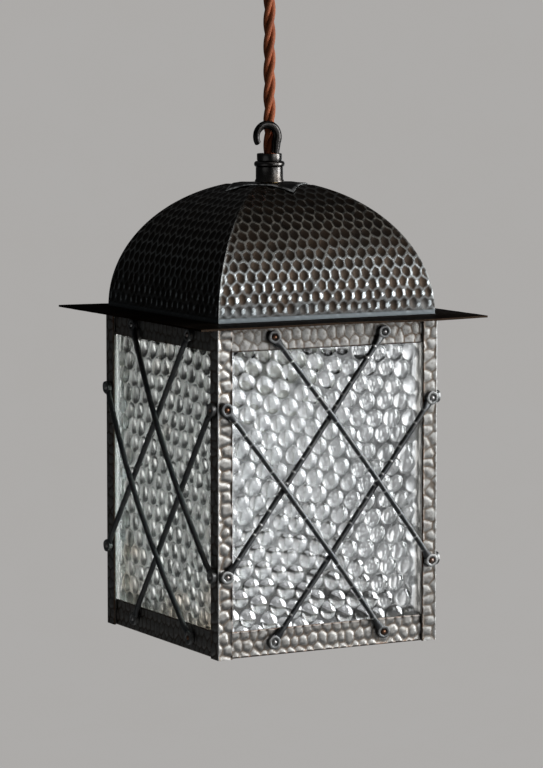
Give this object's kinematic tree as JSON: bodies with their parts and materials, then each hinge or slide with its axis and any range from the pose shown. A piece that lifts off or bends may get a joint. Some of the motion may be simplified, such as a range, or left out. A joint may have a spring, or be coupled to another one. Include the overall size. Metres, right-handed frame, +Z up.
{
  "type": "pendant lantern",
  "caption": "Square hammered-metal pendant lantern with a domed roof, wide brim, crossed lattice rods over textured glass panes, a lampholder, and a twisted flex from a ceiling rose.",
  "frame": {"origin": "middle of the ceiling plate's upper face, where the lantern hangs from", "axes": "+Z up along the hanging axis, -Y out of the front glass face, +X to the right of that face"},
  "size_m": [0.1686, 0.1686, 0.3865],
  "materials": {
    "pewter_sheet": "hammered copper-alloy sheet with an antique pewter patina and brown worn edges",
    "roof_sheet": "hammered copper-alloy sheet, darkened brown-black with bright worn ridges",
    "black_iron": "forged iron, blackened, slightly rough",
    "brass_fittings": "aged brass",
    "pane_glass": "clear glass with a hammered face",
    "bulb_glass": "softly frosted glass",
    "flex_fabric": "braided rust-brown fabric over three twisted cores",
    "ceramic": "glazed white ceramic",
    "block_plastic": "moulded cream plastic",
    "ceiling_bronze": "dark bronze"
  },
  "bodies": {
    "ceiling_fitting": {"ceiling_plate": "ceiling_bronze", "ceiling_cover": "ceiling_bronze", "cover_screw_left": "brass_fittings", "cover_screw_right": "brass_fittings", "ceiling_cord_grip": "ceiling_bronze", "ceiling_grip_nut": "brass_fittings", "terminal_block": "block_plastic", "flex_tail": "flex_fabric"},
    "flex": {"flex_drop": "flex_fabric"},
    "lantern": {"corner_post_front_left": "pewter_sheet", "corner_post_front_right": "pewter_sheet", "corner_post_back_right": "pewter_sheet", "corner_post_back_left": "pewter_sheet", "bottom_rail_front": "pewter_sheet", "top_rail_front": "pewter_sheet", "bottom_rail_right": "pewter_sheet", "top_rail_right": "pewter_sheet", "bottom_rail_back": "pewter_sheet", "top_rail_back": "pewter_sheet", "bottom_rail_left": "pewter_sheet", "top_rail_left": "pewter_sheet", "glass_front": "pane_glass", "glass_right": "pane_glass", "glass_back": "pane_glass", "glass_left": "pane_glass", "roof_panel_front": "roof_sheet", "roof_panel_right": "roof_sheet", "roof_panel_back": "roof_sheet", "roof_panel_left": "roof_sheet", "lattice_rod_front_1": "black_iron", "lattice_rod_front_2": "black_iron", "lattice_rod_front_3": "black_iron", "lattice_rod_front_4": "black_iron", "lattice_rod_right_1": "black_iron", "lattice_rod_right_2": "black_iron", "lattice_rod_right_3": "black_iron", "lattice_rod_right_4": "black_iron", "lattice_rod_back_1": "black_iron", "lattice_rod_back_2": "black_iron", "lattice_rod_back_3": "black_iron", "lattice_rod_back_4": "black_iron", "lattice_rod_left_1": "black_iron", "lattice_rod_left_2": "black_iron", "lattice_rod_left_3": "black_iron", "lattice_rod_left_4": "black_iron", "brim": "roof_sheet", "cap_plate": "roof_sheet", "neck_tube": "roof_sheet", "hook_collar": "black_iron", "hanging_hook": "black_iron", "nipple": "brass_fittings", "neck_nut": "brass_fittings", "flex_inner": "flex_fabric", "lampholder_cap": "brass_fittings", "lampholder_skirt": "brass_fittings", "lampholder_insert": "ceramic", "centre_contact": "brass_fittings"},
    "bulb": {"bulb_cap": "brass_fittings", "bulb_glass": "bulb_glass"}
  },
  "joints": [
    {"name": "flex_swing", "type": "hinge", "parent": "ceiling_fitting", "child": "flex", "pos_m": [0, 0, -0.0367], "axis": [0, 1, 0], "range_deg": [-15, 15]},
    {"name": "lantern_turn", "type": "hinge", "parent": "flex", "child": "lantern", "pos_m": [0, 0, -0.1307], "axis": [0, 0, 1], "range_deg": [-90, 90]},
    {"name": "bulb_screw", "type": "hinge", "parent": "lantern", "child": "bulb", "pos_m": [0, 0, -0.1838], "axis": [0, 0, 1], "range_deg": [-900, 0]}
  ]
}
